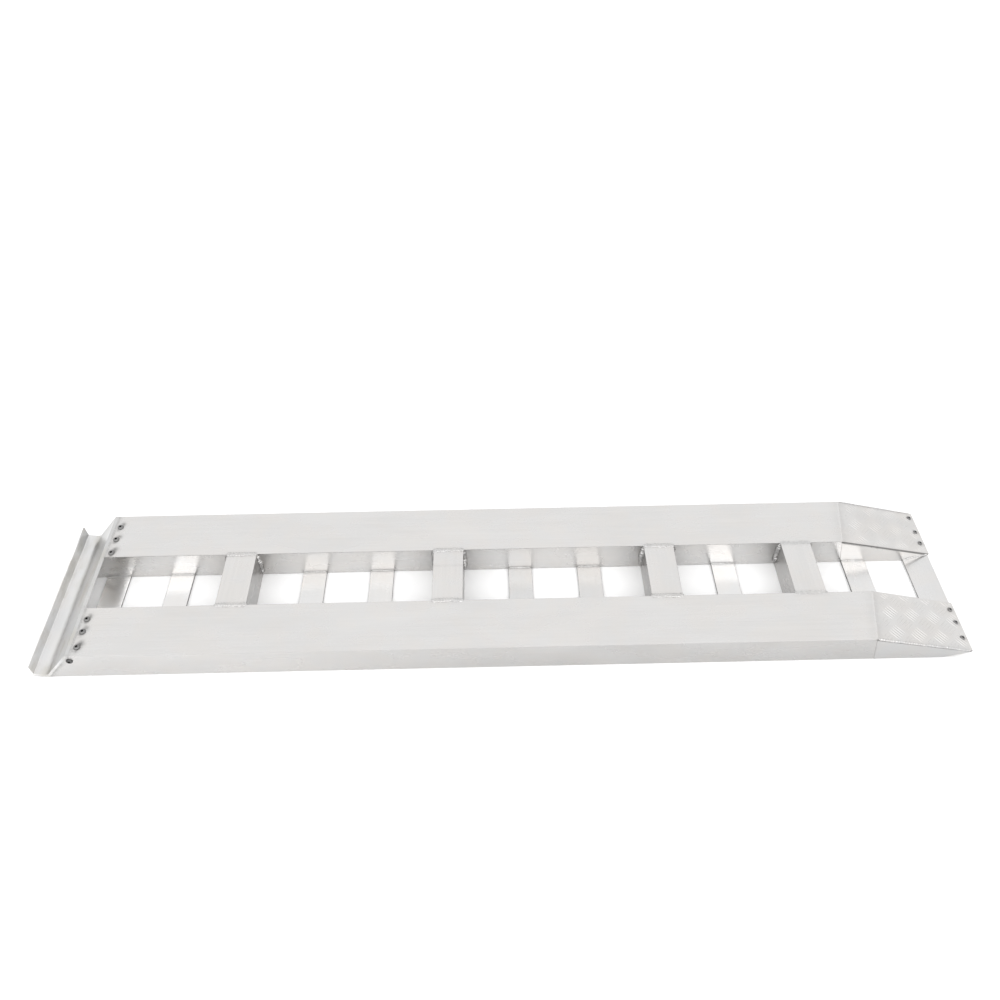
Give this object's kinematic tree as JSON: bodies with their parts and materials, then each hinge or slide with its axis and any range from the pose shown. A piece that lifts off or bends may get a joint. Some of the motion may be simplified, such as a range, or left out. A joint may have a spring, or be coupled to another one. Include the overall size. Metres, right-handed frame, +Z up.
{
  "type": "loading ramp",
  "caption": "Rigid aluminium loading ramp: hollow box rails joined by cross tubes and flat rungs, with a bent hook plate at the vehicle end and tapered checker-plate toes.",
  "frame": {"origin": "centre of the bounding box's underside, on the surface that the ramp lies on, tread side down", "axes": "+X along the ramp from the hook plate to the toe, +Y across it, +Z up"},
  "size_m": [2.01, 0.3992, 0.0786],
  "materials": {
    "rail_aluminium": "mill-finish extrusion",
    "tube_aluminium": "mill-finish extrusion",
    "rung_aluminium": "mill-finish flat bar",
    "hook_aluminium": "brushed, dull",
    "checker_aluminium": "five-bar tread plate",
    "plate_aluminium": "mill-finish sheet",
    "bracket_aluminium": "sawn bar",
    "screw_steel": "darkened steel"
  },
  "bodies": {
    "root": {"rail_near": "rail_aluminium", "rail_far": "rail_aluminium", "cross_tube_1": "tube_aluminium", "cross_tube_2": "tube_aluminium", "cross_tube_3": "tube_aluminium", "cross_tube_4": "tube_aluminium", "rung_1": "rung_aluminium", "rung_2": "rung_aluminium", "rung_3": "rung_aluminium", "rung_4": "rung_aluminium", "rung_5": "rung_aluminium", "rung_6": "rung_aluminium", "rung_7": "rung_aluminium", "rung_8": "rung_aluminium", "nose_rung": "rung_aluminium", "hook_plate": "hook_aluminium", "hook_bracket_near": "bracket_aluminium", "hook_bracket_far": "bracket_aluminium", "toe_deck_near": "checker_aluminium", "toe_floor_near": "plate_aluminium", "toe_outer_side_near": "plate_aluminium", "toe_inner_side_near": "plate_aluminium", "toe_deck_far": "checker_aluminium", "toe_floor_far": "plate_aluminium", "toe_outer_side_far": "plate_aluminium", "toe_inner_side_far": "plate_aluminium", "hook_screw_near_1": "screw_steel", "hook_screw_near_2": "screw_steel", "hook_screw_near_3": "screw_steel", "hook_side_screw_near": "screw_steel", "toe_screw_near_1": "screw_steel", "toe_screw_near_2": "screw_steel", "toe_screw_near_3": "screw_steel", "hook_screw_far_1": "screw_steel", "hook_screw_far_2": "screw_steel", "hook_screw_far_3": "screw_steel", "hook_side_screw_far": "screw_steel", "toe_screw_far_1": "screw_steel", "toe_screw_far_2": "screw_steel", "toe_screw_far_3": "screw_steel"}
  },
  "joints": []
}
